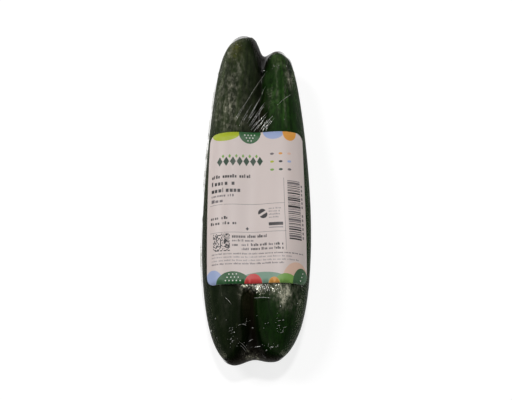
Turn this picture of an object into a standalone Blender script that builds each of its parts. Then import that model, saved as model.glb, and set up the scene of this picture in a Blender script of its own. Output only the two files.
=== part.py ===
"""A pair of Japanese cucumbers shrink-wrapped side by side in clear film, with a paper label on top.

The pack lies on its back on the plane Z = 0. Y runs along the cucumbers, from the blossom ends (-Y)
to the stem ends (+Y), X runs across them, and the origin is on the floor under the middle of the pack's
box. The places along the pack below are counted from near the label's middle, and the whole pack is
moved to the origin at the end.
"""

import math
import random

import bmesh
import bpy
import numpy as np
from mathutils import Vector

MM = 0.001

# The wrap round both cucumbers, all in metres.
FILM_GAP = 0.85 * MM  # from the bare skin to the film's inner face, which leaves room for the warts
FILM_OVER_STUB = 1.5 * MM  # the film is drawn tight from the shoulder and stands off the stem end
FILM_THICK = 0.4 * MM
FILM_FLATTENED = 0.12 * MM  # how far the weight of the pack flattens the film on the floor
WEB_TOP = 21.0 * MM  # how wide the film bridges the groove between the cucumbers
WEB_BOTTOM = 30.0 * MM
WEB_AT_STEMS = 8.0 * MM  # past the neck of the stem ends, where the film dips into the notch
WEB_NECK = (66.0 * MM, 94.0 * MM)
WEB_AT_BLOSSOMS = 20.0 * MM
WEB_HEEL = (-70.0 * MM, -92.0 * MM)
WEB_CHANGE = 12.0 * MM  # the height over which the web goes from its width below to its width above
GROOVE_FROM, GROOVE_TO = -70.0 * MM, 80.0 * MM  # where the cucumbers lie close enough to have a groove
FIN_HEIGHT = 0.6 * MM  # the welded side seam, a low fin along the left side
FIN_HALF_WIDTH = 2.2 * MM
FIN_FROM_GROOVE = 14.0 * MM  # the fin rises from nothing over this distance from the groove
VENT_RADIUS = 3.0 * MM
VENT_PLACE = (2.5 * MM, 66.0 * MM)
VENT_SIDES = 16

# Each cucumber is a turned body whose centre line leans and bows sideways, more or less towards each end.
LEFT = {
    "belly_y": -24.5 * MM,
    "stem_y": 110.0 * MM,
    "blossom_y": -95.0 * MM,
    "belly_radius": 14.25 * MM,
    "stem_taper": 0.11,
    "stem_power": 13.0,
    "blossom_taper": 0.34,
    "blossom_power": 7.2,
    "centre_x": -15.65 * MM,
    "lean": 0.0267,
    "stem_bow": 0.40,
    "blossom_bow": 0.64,
    "stub_shift": 2.4 * MM,
    "first_rib": 0.4,
}
RIGHT = {
    "belly_y": -26.5 * MM,
    "stem_y": 98.0 * MM,
    "blossom_y": -93.6 * MM,
    "belly_radius": 15.35 * MM,
    "stem_taper": 0.455,
    "stem_power": 19.0,
    "blossom_taper": 0.19,
    "blossom_power": 4.9,
    "centre_x": 15.8 * MM,
    "lean": 0.0045,
    "stem_bow": -0.24,
    "blossom_bow": -0.65,
    "stub_shift": -0.6 * MM,
    "first_rib": 1.1,
}
STUB_RADIUS = 2.4 * MM
STUB_LENGTH = 2.0 * MM
STUB_SIDEWAYS_OVER = 8.0 * MM  # the last stretch of the stem end, in which it moves off the middle
SCAR_RADIUS = 2.4 * MM
SCAR_DEPTH = 0.5 * MM
LOBES, LOBE_HEIGHT = 3, 0.006  # heights as shares of the radius
RIBS, RIB_HEIGHT = 9, 0.007
RIBS_FADE = 12.0 * MM  # the stretch at each end where the lobes and ribs run out
SKIN_SIDES = 30
SKIN_RINGS = 30

WART_RADIUS = 1.0 * MM
WART_HEIGHT = 0.3 * MM
WART_SIDES = 5
WART_ROWS = 15
WARTS_A_ROW = 5
WARTS_FROM_BLOSSOM = 7.0 * MM
WARTS_FROM_STEM = 6.0 * MM
WART_CLEAR_ANGLE = math.radians(35)  # no warts where the cucumbers press on each other

LABEL_WIDTH = 58.6 * MM
LABEL_LENGTH = 93.0 * MM
LABEL_CORNER = 5.0 * MM
LABEL_MIDDLE_Y = -9.9 * MM
LABEL_SHIFT = 0.75 * MM
LABEL_TILT = -0.040  # sideways drift for each metre along the pack
LABEL_THICK = 0.25 * MM
LABEL_GAP = 0.3 * MM
LABEL_COLUMNS, LABEL_ROWS = 22, 16

FILM_SIDES = 40
FILM_RINGS = 42
FILM_CAP_SHARE = 0.27  # the share of the rings that fan out over each end
FILM_CAPS_FROM = (-74.0 * MM, 76.0 * MM)  # where the fans over the blossom and stem ends start
FILM_REACH = 70.0 * MM  # farther than any point of the film is from the middle line
FILM_HALVINGS = 40


def clear_scene():
    for obj in list(bpy.data.objects):
        bpy.data.objects.remove(obj, do_unlink=True)


def make_collection(name):
    collection = bpy.data.collections.new(name)
    bpy.context.scene.collection.children.link(collection)
    return collection


def make_object(name, mesh, collection):
    obj = bpy.data.objects.new(name, mesh)
    collection.objects.link(obj)
    return obj


def evaluated_mesh(obj):
    """The object's mesh with its modifiers applied, as a mesh of its own."""
    graph = bpy.context.evaluated_depsgraph_get()
    graph.update()
    return bpy.data.meshes.new_from_object(obj.evaluated_get(graph))


def apply_modifiers(obj):
    mesh = evaluated_mesh(obj)
    obj.modifiers.clear()
    obj.data = mesh


def points_of(mesh):
    points = np.empty(len(mesh.vertices) * 3)
    mesh.vertices.foreach_get("co", points)
    return points.reshape(-1, 3)


def set_points(mesh, points):
    mesh.vertices.foreach_set("co", points.ravel())
    mesh.update()


# The cucumbers' shape, shared by the bodies, their warts and the film that fits them


def centre_line(fruit, y):
    """Sideways place of the centre line at y."""
    bow = np.where(y > 0, fruit["stem_bow"], fruit["blossom_bow"])
    return fruit["centre_x"] + fruit["lean"] * y + bow * y * y


def axis_height(fruit):
    """Height of the centre line, with the film under the belly flattened on the floor."""
    return fruit["belly_radius"] + FILM_GAP + FILM_THICK - FILM_FLATTENED


def body_radius(fruit, y, stem_y):
    """Radius of the body at y: a slow taper each way from the belly, and a rounded end."""
    towards_stem = y > fruit["belly_y"]
    reach = np.where(towards_stem, stem_y - fruit["belly_y"], fruit["belly_y"] - fruit["blossom_y"])
    share = np.clip(np.abs(y - fruit["belly_y"]) / reach, 0.0, 1.0)
    taper = np.where(towards_stem, fruit["stem_taper"], fruit["blossom_taper"])
    power = np.where(towards_stem, fruit["stem_power"], fruit["blossom_power"])
    return fruit["belly_radius"] * (1 - taper * share**2) * np.sqrt(1 - share**power)


def ring_places(fruit, stem_y, count):
    """Places along the cucumber from the stem end to the blossom end, closer together at both ends."""
    turn = np.linspace(0, math.pi, count)
    middle = (stem_y + fruit["blossom_y"]) / 2
    half = (stem_y - fruit["blossom_y"]) / 2
    return middle + half * np.sin(np.cos(turn) * math.pi / 2)


def turned_profile(fruit):
    """(radius, y) from the cut stem's middle, down the outer side, to the blossom scar's middle."""
    stem_y, blossom_y = fruit["stem_y"], fruit["blossom_y"]
    body = [
        (float(body_radius(fruit, y, stem_y)), float(y))
        for y in ring_places(fruit, stem_y, SKIN_RINGS)
    ]
    body = [point for point in body if point[0] > 1.25 * STUB_RADIUS]
    stub = [
        (0.0, stem_y + STUB_LENGTH),
        (0.9 * STUB_RADIUS, stem_y + STUB_LENGTH),
        (STUB_RADIUS, stem_y + 0.3 * STUB_LENGTH),
    ]
    scar = [
        (1.1 * SCAR_RADIUS, blossom_y + 0.4 * SCAR_DEPTH),
        (0.7 * SCAR_RADIUS, blossom_y + SCAR_DEPTH),
        (0.0, blossom_y + SCAR_DEPTH),
    ]
    return stub + body + scar


def skin_waves(fruit, angle, y):
    """How much the lobes and the fine ribs swell the radius, fading out at both ends."""
    reach_up = np.clip((fruit["stem_y"] - y) / RIBS_FADE, 0, 1)
    reach_down = np.clip((y - fruit["blossom_y"]) / RIBS_FADE, 0, 1)
    lobes = LOBE_HEIGHT * np.cos(LOBES * angle + fruit["first_rib"])
    ribs = RIB_HEIGHT * np.cos(RIBS * angle + 2 * fruit["first_rib"])
    return 1 + (lobes + ribs) * reach_up * reach_down


def bend_skin(fruit, points):
    """Takes the turned body, upright on Z, to its ribbed and bowed shape lying along Y."""
    x, y, z = points[:, 0], points[:, 1], points[:, 2]
    swell = skin_waves(fruit, np.arctan2(-y, x), z)
    end_of_stub = fruit["stem_y"] + STUB_LENGTH
    into_end = np.clip(1 - (end_of_stub - z) / STUB_SIDEWAYS_OVER, 0, None)
    sideways = centre_line(fruit, z) - fruit["centre_x"] + fruit["stub_shift"] * into_end**2
    return np.stack([x * swell + sideways, z, -y * swell], axis=1)


def wart_places(fruit, seed, side_facing):
    """(angle, y) of each wart: even rows with a seeded scatter, none where the cucumbers touch."""
    draw = random.Random(seed)
    low = fruit["blossom_y"] + WARTS_FROM_BLOSSOM
    high = fruit["stem_y"] - WARTS_FROM_STEM
    for row in range(WART_ROWS):
        for column in range(WARTS_A_ROW):
            share = (row + draw.uniform(0.1, 0.9)) / WART_ROWS
            turn = (column + 0.5 * (row % 2) + draw.uniform(-0.3, 0.3)) / WARTS_A_ROW
            angle = 2 * math.pi * turn
            from_facing = (angle - side_facing + math.pi) % (2 * math.pi) - math.pi
            if abs(from_facing) > WART_CLEAR_ANGLE:
                yield angle, low + share * (high - low)


def add_warts(obj, fruit, seed, side_facing):
    """Low five-sided warts, sunk into the skin and joined to it."""
    warts = make_collection(obj.name + "_warts")
    step = WART_RADIUS / 2
    for number, (angle, y) in enumerate(wart_places(fruit, seed, side_facing)):
        radius = float(body_radius(fruit, y, fruit["stem_y"]))
        slope = float(body_radius(fruit, y + step, fruit["stem_y"]) - radius) / step
        radius *= float(skin_waves(fruit, angle, y))
        outward = Vector((math.cos(angle), -slope, math.sin(angle))).normalized()
        foot = Vector((
            centre_line(fruit, y) - fruit["centre_x"] + radius * math.cos(angle),
            y,
            radius * math.sin(angle),
        ))
        shape = bmesh.new()
        bmesh.ops.create_cone(
            shape,
            cap_ends=True,
            segments=WART_SIDES,
            radius1=WART_RADIUS,
            radius2=0.35 * WART_RADIUS,
            depth=3 * WART_HEIGHT,
        )
        mesh = bpy.data.meshes.new(f"wart_{number}")
        shape.to_mesh(mesh)
        shape.free()
        wart = make_object(f"{obj.name}_wart_{number}", mesh, warts)
        wart.rotation_euler = outward.to_track_quat("Z", "Y").to_euler()
        wart.location = obj.location + foot - 0.5 * WART_HEIGHT * outward
    union = obj.modifiers.new("warts", "BOOLEAN")
    union.operand_type = "COLLECTION"
    union.collection = warts
    union.operation = "UNION"
    union.solver = "MANIFOLD"
    apply_modifiers(obj)
    for wart in list(warts.objects):
        bpy.data.objects.remove(wart, do_unlink=True)
    bpy.data.collections.remove(warts)


def build_cucumber(name, fruit, seed, side_facing, collection, material):
    profile = turned_profile(fruit)
    mesh = bpy.data.meshes.new(name)
    mesh.from_pydata(
        [(radius, 0.0, y) for radius, y in profile],
        [(i, i + 1) for i in range(len(profile) - 1)],
        [],
    )
    obj = make_object(name, mesh, collection)
    obj.location = (fruit["centre_x"], 0, axis_height(fruit))
    turn = obj.modifiers.new("turn", "SCREW")
    turn.axis = "Z"
    turn.steps = SKIN_SIDES
    turn.render_steps = SKIN_SIDES
    turn.use_merge_vertices = True
    turn.merge_threshold = 0.00001
    apply_modifiers(obj)
    set_points(obj.data, bend_skin(fruit, points_of(obj.data)))
    bpy.context.view_layer.update()
    add_warts(obj, fruit, seed, side_facing)
    obj.data.materials.clear()
    obj.data.materials.append(material)
    obj.data.shade_smooth()
    obj.data.set_sharp_from_angle(angle=math.radians(40))
    return obj


# The film: a sphere's grid drawn out over both cucumbers, on the surface a set distance from them


def film_profile(fruit):
    """(y, radius) of what the film is stretched over: the body, drawn out past the end of its stem stub."""
    stem_y = fruit["stem_y"] + STUB_LENGTH + FILM_OVER_STUB
    places = ring_places(fruit, stem_y, 60)
    return np.stack([places, body_radius(fruit, places, stem_y)], axis=1)


def distance_to_fruit(fruit, points):
    """Distance from each point to the body, negative inside it."""
    profile = film_profile(fruit)
    across = np.hypot(points[:, 0] - centre_line(fruit, points[:, 1]), points[:, 2] - axis_height(fruit))
    flat = np.stack([points[:, 1], across], axis=1)
    start, run = profile[:-1], profile[1:] - profile[:-1]
    from_start = flat[:, None, :] - start[None, :, :]
    share = np.clip((from_start * run).sum(2) / (run * run).sum(1), 0, 1)
    nearest = np.linalg.norm(from_start - share[:, :, None] * run, axis=2).min(1)
    stem_y = fruit["stem_y"] + STUB_LENGTH + FILM_OVER_STUB
    inside = (across < body_radius(fruit, points[:, 1], stem_y)) & (points[:, 1] > fruit["blossom_y"])
    return np.where(inside, -nearest, nearest)


def distance_to_pair(points):
    """Distance to both cucumbers, blended so that the surface bridges the groove between them."""
    to_left = distance_to_fruit(LEFT, points)
    to_right = distance_to_fruit(RIGHT, points)
    mid_height = (axis_height(LEFT) + axis_height(RIGHT)) / 2
    above = np.clip(0.5 + (points[:, 2] - mid_height) / WEB_CHANGE, 0, 1)
    web = WEB_BOTTOM + (WEB_TOP - WEB_BOTTOM) * above * above * (3 - 2 * above)
    neck = np.clip((points[:, 1] - WEB_NECK[0]) / (WEB_NECK[1] - WEB_NECK[0]), 0, 1)
    web += (WEB_AT_STEMS - web) * neck * neck * (3 - 2 * neck)
    heel = np.clip((points[:, 1] - WEB_HEEL[0]) / (WEB_HEEL[1] - WEB_HEEL[0]), 0, 1)
    web += (WEB_AT_BLOSSOMS - web) * heel * heel * (3 - 2 * heel)
    overlap = np.clip(1 - np.abs(to_left - to_right) / web, 0, None)
    return np.minimum(to_left, to_right) - overlap**2 * web / 4


def groove_line(y):
    """Sideways place of the line between the two cucumbers."""
    y = np.clip(y, GROOVE_FROM, GROOVE_TO)
    left = centre_line(LEFT, y) + body_radius(LEFT, y, LEFT["stem_y"])
    right = centre_line(RIGHT, y) - body_radius(RIGHT, y, RIGHT["stem_y"])
    return (left + right) / 2


def film_surface(start, direction, gap):
    """Where rays from inside the pack meet the surface at this distance from the cucumbers."""
    near = np.zeros(len(start))
    far = np.full(len(start), FILM_REACH)
    for _ in range(FILM_HALVINGS):
        middle = (near + far) / 2
        outside = distance_to_pair(start + direction * middle[:, None]) > gap
        far = np.where(outside, middle, far)
        near = np.where(outside, near, middle)
    return start + direction * near[:, None]


def film_rays(sphere_points):
    """Start and direction of the ray for each point of a unit sphere whose poles are on Y.

    The rings near the poles fan out over the ends, and the others stand square to the pack.
    """
    polar = np.arccos(np.clip(sphere_points[:, 1], -1, 1)) / math.pi
    around = np.arctan2(sphere_points[:, 2], sphere_points[:, 0])
    blossom_start, stem_start = FILM_CAPS_FROM
    cap = FILM_CAP_SHARE
    along = np.clip((polar - cap) / (1 - 2 * cap), 0, 1)
    tilt = np.where(
        polar < cap,
        (polar / cap) * math.pi / 2,
        np.where(polar > 1 - cap, math.pi - (1 - polar) / cap * math.pi / 2, math.pi / 2),
    )
    y = stem_start + (blossom_start - stem_start) * along
    mid_height = (axis_height(LEFT) + axis_height(RIGHT)) / 2
    start = np.stack([groove_line(y), y, np.full_like(y, mid_height)], axis=1)
    direction = np.stack(
        [np.sin(tilt) * np.cos(around), np.cos(tilt), np.sin(tilt) * np.sin(around)], axis=1
    )
    return start, direction


def raise_fin(points):
    """Draws the film out into the low welded seam along the left side and round the left ends."""
    height = axis_height(LEFT)
    near_seam = np.exp(-(((points[:, 2] - height) / FIN_HALF_WIDTH) ** 2))
    middle = (LEFT["stem_y"] + LEFT["blossom_y"]) / 2
    half = (LEFT["stem_y"] - LEFT["blossom_y"]) / 2
    out_of_groove = np.clip((groove_line(points[:, 1]) - points[:, 0]) / FIN_FROM_GROOVE, 0, 1)
    sweep = np.clip((points[:, 1] - middle) / half, -1, 1) ** 9
    lift = FIN_HEIGHT * near_seam * out_of_groove
    moved = points.copy()
    moved[:, 0] -= lift * (1 - np.abs(sweep))
    moved[:, 1] += 0.5 * lift * sweep
    return moved


def build_film(collection, cutters, material):
    shape = bmesh.new()
    bmesh.ops.create_uvsphere(shape, u_segments=FILM_SIDES, v_segments=FILM_RINGS, radius=1.0)
    mesh = bpy.data.meshes.new("film")
    shape.to_mesh(mesh)
    shape.free()
    upright = points_of(mesh)
    sphere = np.stack([upright[:, 0], upright[:, 2], -upright[:, 1]], axis=1)
    start, direction = film_rays(sphere)
    set_points(mesh, raise_fin(film_surface(start, direction, FILM_GAP)))
    obj = make_object("film", mesh, collection)
    wall = obj.modifiers.new("wall", "SOLIDIFY")
    wall.thickness = FILM_THICK
    wall.offset = 1.0
    wall.use_even_offset = False
    apply_modifiers(obj)
    points = points_of(obj.data)
    floor = np.where(points[:, 2] < 0, 0.0, points[:, 2])
    set_points(obj.data, np.stack([points[:, 0], points[:, 1], floor], axis=1))
    cut_vent(obj, cutters)
    obj.data.materials.clear()
    obj.data.materials.append(material)
    obj.data.shade_smooth()
    obj.data.set_sharp_from_angle(angle=math.radians(50))
    return obj


def cut_vent(film, cutters):
    """A round vent in the underside, over the groove, which lets the cucumbers breathe."""
    shape = bmesh.new()
    bmesh.ops.create_cone(
        shape,
        cap_ends=True,
        segments=VENT_SIDES,
        radius1=VENT_RADIUS,
        radius2=VENT_RADIUS,
        depth=4 * VENT_RADIUS,
    )
    mesh = bpy.data.meshes.new("vent_cutter")
    shape.to_mesh(mesh)
    shape.free()
    cutter = make_object("vent_cutter", mesh, cutters)
    cutter.location = (VENT_PLACE[0], VENT_PLACE[1], 0)
    cutter.hide_render = True
    cutter.display_type = "WIRE"
    vent = film.modifiers.new("vent", "BOOLEAN")
    vent.operation = "DIFFERENCE"
    vent.solver = "MANIFOLD"
    vent.object = cutter


# The label: a grid laid over the film by its real width across the pack


def film_crossing(y, gap):
    """Points across the top of the film at y, from left to right, and their real distance along it."""
    turn = np.linspace(math.pi, 0, 181)
    mid_height = (axis_height(LEFT) + axis_height(RIGHT)) / 2
    start = np.tile([float(groove_line(y)), y, mid_height], (len(turn), 1))
    direction = np.stack([np.cos(turn), np.zeros_like(turn), np.sin(turn)], axis=1)
    line = film_surface(start, direction, gap)
    steps = np.linalg.norm(np.diff(line, axis=0), axis=1)
    along = np.concatenate([[0], np.cumsum(steps)])
    middle = np.interp(float(groove_line(y)), line[:, 0], along)
    return line, along - middle


def label_point_rows(gap):
    """The grid's points on the film at this distance from the skin, row by row from the blossom side."""
    half_width, half_length = LABEL_WIDTH / 2, LABEL_LENGTH / 2
    straight = half_length - LABEL_CORNER
    turns = np.linspace(0, math.pi / 2, 4)[1:]
    corner = straight + LABEL_CORNER * np.sin(turns)
    plain = np.linspace(-straight, straight, LABEL_ROWS - 2 * len(turns) + 1)
    rows = []
    for v in [*-corner[::-1], *plain, *corner]:
        into_corner = max(abs(v) - straight, 0)
        inset = LABEL_CORNER - math.sqrt(max(LABEL_CORNER**2 - into_corner**2, 0))
        y = LABEL_MIDDLE_Y + v
        line, along = film_crossing(y, gap)
        shift = LABEL_SHIFT + LABEL_TILT * v
        across = shift + np.linspace(-1, 1, LABEL_COLUMNS + 1) * (half_width - inset)
        rows.append(np.stack([np.interp(across, along, line[:, axis]) for axis in range(3)], axis=1))
    return np.array(rows)


def build_label(collection, material):
    gap = FILM_GAP + FILM_THICK + LABEL_GAP
    rows = label_point_rows(gap)
    shape = bmesh.new()
    bmesh.ops.create_grid(shape, x_segments=LABEL_COLUMNS, y_segments=len(rows) - 1, size=0.5)
    shape.verts.ensure_lookup_table()
    for vert in shape.verts:
        column = round((vert.co.x + 0.5) * LABEL_COLUMNS)
        row = round((vert.co.y + 0.5) * (len(rows) - 1))
        vert.co = Vector(rows[row][column])
    mesh = bpy.data.meshes.new("label")
    shape.to_mesh(mesh)
    shape.free()
    obj = make_object("label", mesh, collection)
    paper = obj.modifiers.new("paper", "SOLIDIFY")
    paper.thickness = LABEL_THICK
    paper.offset = 1.0
    mesh.materials.append(material)
    mesh.shade_smooth()
    return obj


def stand_on_origin(carrier, film):
    """Moves the pack so that the middle of the film's box, the widest and longest piece, is on the origin."""
    points = points_of(film.data)
    middle = (points.min(axis=0) + points.max(axis=0)) / 2
    carrier.location = (-middle[0], -middle[1], 0)


def make_material(name, colour, roughness, alpha=1.0):
    material = bpy.data.materials.new(name)
    material.use_nodes = True
    shader = material.node_tree.nodes["Principled BSDF"]
    shader.inputs["Base Color"].default_value = (*colour, 1.0)
    shader.inputs["Roughness"].default_value = roughness
    shader.inputs["Metallic"].default_value = 0.0
    shader.inputs["Alpha"].default_value = alpha
    material.diffuse_color = (*colour, alpha)
    return material


def main():
    clear_scene()
    pack = make_collection("cucumber_pack")
    cutters = make_collection("cutters")
    skin_left = make_material("skin_left", (0.030, 0.055, 0.018), 0.42)
    skin_right = make_material("skin_right", (0.022, 0.062, 0.012), 0.42)
    clear_film = make_material("clear_film", (0.80, 0.82, 0.80), 0.12, alpha=0.22)
    label_paper = make_material("label_paper", (0.66, 0.60, 0.60), 0.45)
    carrier = bpy.data.objects.new("pack_frame", None)
    pack.objects.link(carrier)
    film = build_film(pack, cutters, clear_film)
    pieces = [
        build_cucumber("cucumber_left", LEFT, 11, 0.0, pack, skin_left),
        build_cucumber("cucumber_right", RIGHT, 23, math.pi, pack, skin_right),
        film,
        build_label(pack, label_paper),
        *cutters.objects,
    ]
    for piece in pieces:
        piece.parent = carrier
    stand_on_origin(carrier, film)


main()
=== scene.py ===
"""The looks of a shrink-wrapped pair of cucumbers, piece by piece in the order in which it is packed."""

import math
import random

import bmesh
import bpy
import numpy as np
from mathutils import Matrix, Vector
from mathutils.geometry import delaunay_2d_cdt


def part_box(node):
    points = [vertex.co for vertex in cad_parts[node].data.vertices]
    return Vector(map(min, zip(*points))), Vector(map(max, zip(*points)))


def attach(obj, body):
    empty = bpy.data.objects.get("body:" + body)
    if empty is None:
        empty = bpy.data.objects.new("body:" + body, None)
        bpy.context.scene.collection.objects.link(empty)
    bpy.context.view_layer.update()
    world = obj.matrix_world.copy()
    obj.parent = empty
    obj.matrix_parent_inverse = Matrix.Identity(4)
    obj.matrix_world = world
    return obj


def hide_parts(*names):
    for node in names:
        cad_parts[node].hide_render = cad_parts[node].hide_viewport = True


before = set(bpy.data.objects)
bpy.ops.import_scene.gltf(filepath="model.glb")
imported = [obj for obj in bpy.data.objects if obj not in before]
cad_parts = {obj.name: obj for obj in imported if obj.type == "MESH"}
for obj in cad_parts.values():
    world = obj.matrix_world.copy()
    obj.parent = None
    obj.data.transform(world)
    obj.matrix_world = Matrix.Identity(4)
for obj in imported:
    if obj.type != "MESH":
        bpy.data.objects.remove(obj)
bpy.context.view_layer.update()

# The two cucumbers
# Slender Japanese cucumbers, each cut with a short stub of stem and laid side by side, stem ends together.
# A cucumber grew in one piece, so its skin, stub and blossom scar are one closed mesh, turned round a
# centre line that bows a little sideways. Places along the pack are counted from near the label's middle.

MM = 0.001
# A taper is the share of the radius that is lost by that end, and a higher power makes the end blunter.
# The centre line runs sideways by lean times y and by bow times y squared. first_rib turns the ribs round,
# blossom_shade is how strongly painted shade darkens the blossom half, and touches_at is the angle at
# which it touches the other cucumber.
LEFT = {
    "belly_y": -24.5 * MM,
    "stem_y": 110.0 * MM,
    "blossom_y": -95.0 * MM,
    "belly_radius": 14.25 * MM,
    "stem_taper": 0.11,
    "stem_power": 13.0,
    "blossom_taper": 0.34,
    "blossom_power": 7.2,
    "centre_x": -15.65 * MM,
    "lean": 0.0267,
    "stem_bow": 0.40,
    "blossom_bow": 0.64,
    "stub_shift": 2.4 * MM,
    "first_rib": 0.4,
    "blossom_shade": 0.80,
    "touches_at": 0.0,
    "seed": 11,
}
RIGHT = {
    "belly_y": -26.5 * MM,
    "stem_y": 98.0 * MM,
    "blossom_y": -93.6 * MM,
    "belly_radius": 15.35 * MM,
    "stem_taper": 0.455,
    "stem_power": 19.0,
    "blossom_taper": 0.19,
    "blossom_power": 4.9,
    "centre_x": 15.8 * MM,
    "lean": 0.0045,
    "stem_bow": -0.24,
    "blossom_bow": -0.65,
    "stub_shift": -0.6 * MM,
    "first_rib": 1.1,
    "blossom_shade": 0.35,
    "touches_at": math.pi,
    "seed": 23,
}
SKIN_SWOLLEN = 0.95 * MM  # the solids leave a thick film its room, and the real skin fills it
RESTING_HEIGHT = 1.13 * MM  # from the floor to the lowest skin: the film and the air under it
LOWEST_SKIN = 0.06 * MM
# Painted shade: the skin is darkened from here to the blossom end, where less light falls.
BLOSSOM_SHADE_FROM, BLOSSOM_SHADE_LENGTH = 30.0 * MM, 85.0 * MM  # the skin grows darker from here to the blossom end
SHOULDER_RISE, STUB_RISE = 2.7 * MM, 1.2 * MM  # the real stem ends fill the film further than the solids
STUB_RADIUS = 2.4 * MM
STUB_LENGTH = 2.0 * MM
STUB_WAIST = 0.1  # the share of its radius that the stub loses in its waist
WAIST_FROM, WAIST_LENGTH = 0.05, 0.2  # as shares of the stub's length, from the cut face
STUB_SIDEWAYS_OVER = 8.0 * MM
STUB_FACETS, FACET_HEIGHT = 5, 0.13 * MM
CUT_HOLLOW = 0.3 * MM
SHOULDER_RADIUS = 1.25 * STUB_RADIUS  # the body's rings start at this radius
SCAR_RADIUS = 2.4 * MM
SCAR_DEPTH = 0.5 * MM
LOBES, LOBE_HEIGHT = 3, 0.006
RIBS, RIB_HEIGHT = 9, 0.007
RIBS_FADE = 12.0 * MM
NECK_LENGTH = 26.0 * MM  # where the ribs draw together into furrows towards the stem
NECK_FURROW = 0.16 * MM
END_FADE = 2.0 * MM
SKIN_SIDES, SKIN_RINGS = 190, 178
WART_ROWS, WARTS_A_ROW = 15, 5
WARTS_FROM_BLOSSOM, WARTS_FROM_STEM = 7.0 * MM, 6.0 * MM
WART_CLEAR_ANGLE = math.radians(35)
WART_WIDTH, WART_HEIGHT = 0.62 * MM, 0.30 * MM
PIMPLES, PIMPLE_WIDTH, PIMPLE_HEIGHT = 420, 0.34 * MM, 0.09 * MM
PIMPLES_FROM_BLOSSOM, PIMPLES_FROM_STEM = 3.0 * MM, 2.0 * MM
FURROWS = 10
STRIPES_FROM, STRIPES_FADE, LEAST_STRIPES = 20.0 * MM, 80.0 * MM, 0.2
STRIPE_WANDER, WANDER_LENGTH = math.radians(2.5), 15.0 * MM
HIDDEN_STRIPES, HIDDEN_FROM, HIDDEN_SPREAD = 7, 190, 160  # on the far side: how many, and their degrees
pack_shift = np.array([-0.09 * MM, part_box("cucumber_left")[1].y - LEFT["stem_y"] - STUB_LENGTH, 0.0])


def centre_line(fruit, y):
    bow = np.where(y > 0, fruit["stem_bow"], fruit["blossom_bow"])
    return fruit["centre_x"] + fruit["lean"] * y + bow * y * y


def axis_height(fruit):
    return fruit["belly_radius"] + RESTING_HEIGHT


def body_radius(fruit, y, stem_y):
    """Radius of the body at y: a slow taper each way from the belly, and a rounded end."""
    towards_stem = y > fruit["belly_y"]
    reach = np.where(towards_stem, stem_y - fruit["belly_y"], fruit["belly_y"] - fruit["blossom_y"])
    share = np.clip(np.abs(y - fruit["belly_y"]) / reach, 0.0, 1.0)
    taper = np.where(towards_stem, fruit["stem_taper"], fruit["blossom_taper"])
    power = np.where(towards_stem, fruit["stem_power"], fruit["blossom_power"])
    return fruit["belly_radius"] * (1 - taper * share**2) * np.sqrt(1 - share**power)


def ring_places(fruit, stem_y, count):
    turn = np.linspace(0, math.pi, count)
    middle = (stem_y + fruit["blossom_y"]) / 2
    half = (stem_y - fruit["blossom_y"]) / 2
    return middle + half * np.sin(np.cos(turn) * math.pi / 2)


def fruit_profile(fruit):
    """(radius, y) of each ring, from the cut face of the stub to the blossom scar."""
    fruit = dict(fruit, belly_radius=fruit["belly_radius"] + SKIN_SWOLLEN)
    stem_y = fruit["stem_y"] + SKIN_SWOLLEN + SHOULDER_RISE
    blossom_y = fruit["blossom_y"] - SKIN_SWOLLEN
    fruit["blossom_y"] = blossom_y
    end = fruit["stem_y"] + STUB_LENGTH + SKIN_SWOLLEN + STUB_RISE
    cut = [(share * STUB_RADIUS, end - CUT_HOLLOW * (1 - share)) for share in (0.25, 0.5, 0.75, 0.9)]
    waist = [
        (
            STUB_RADIUS * (1 - STUB_WAIST * math.sin(share * math.pi)),
            end - (WAIST_FROM + WAIST_LENGTH * share) * STUB_LENGTH,
        )
        for share in (0.0, 0.25, 0.5, 0.75, 1.0)
    ]
    places = ring_places(fruit, stem_y, SKIN_RINGS)
    body = [(float(r), float(y)) for r, y in zip(body_radius(fruit, places, stem_y), places)]
    body = [ring for ring in body if ring[0] > SHOULDER_RADIUS]
    scar = [(share * SCAR_RADIUS, blossom_y + SCAR_DEPTH * (0.4 + 0.6 * (1 - share)))
            for share in (1.1, 0.85, 0.6, 0.3)]
    return np.array(cut + waist + body + scar)


def skin_swell(fruit, angle, y):
    """How much the lobes and the fine ribs swell the radius, fading out at both ends."""
    reach_up = np.clip((fruit["stem_y"] - y) / RIBS_FADE, 0, 1)
    reach_down = np.clip((y - fruit["blossom_y"]) / RIBS_FADE, 0, 1)
    lobes = LOBE_HEIGHT * np.cos(LOBES * angle + fruit["first_rib"])
    ribs = RIB_HEIGHT * np.cos(RIBS * angle + 2 * fruit["first_rib"])
    return 1 + (lobes + ribs) * reach_up * reach_down


def wart_places(fruit):
    """(angle, y) of each wart: even rows with a seeded scatter, none where the cucumbers touch."""
    draw = random.Random(fruit["seed"])
    low = fruit["blossom_y"] + WARTS_FROM_BLOSSOM
    high = fruit["stem_y"] - WARTS_FROM_STEM
    for row in range(WART_ROWS):
        for column in range(WARTS_A_ROW):
            share = (row + draw.uniform(0.1, 0.9)) / WART_ROWS
            turn = (column + 0.5 * (row % 2) + draw.uniform(-0.3, 0.3)) / WARTS_A_ROW
            angle = 2 * math.pi * turn
            from_touch = (angle - fruit["touches_at"] + math.pi) % (2 * math.pi) - math.pi
            if abs(from_touch) > WART_CLEAR_ANGLE:
                yield angle, low + share * (high - low)


def raised_spots(spots, angle, y, radius, width, height):
    """Height over the whole grid of round-topped spots, each at an angle and a place along the body."""
    lift = np.zeros_like(angle)
    for spot_angle, spot_y in spots:
        rings = np.abs(y[:, 0] - spot_y) < 3 * width
        turn = (angle[rings] - spot_angle + math.pi) % (2 * math.pi) - math.pi
        far = np.hypot(turn * radius[rings], y[rings] - spot_y)
        lift[rings] += height * np.exp(-((far / width) ** 2))
    return lift


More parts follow.
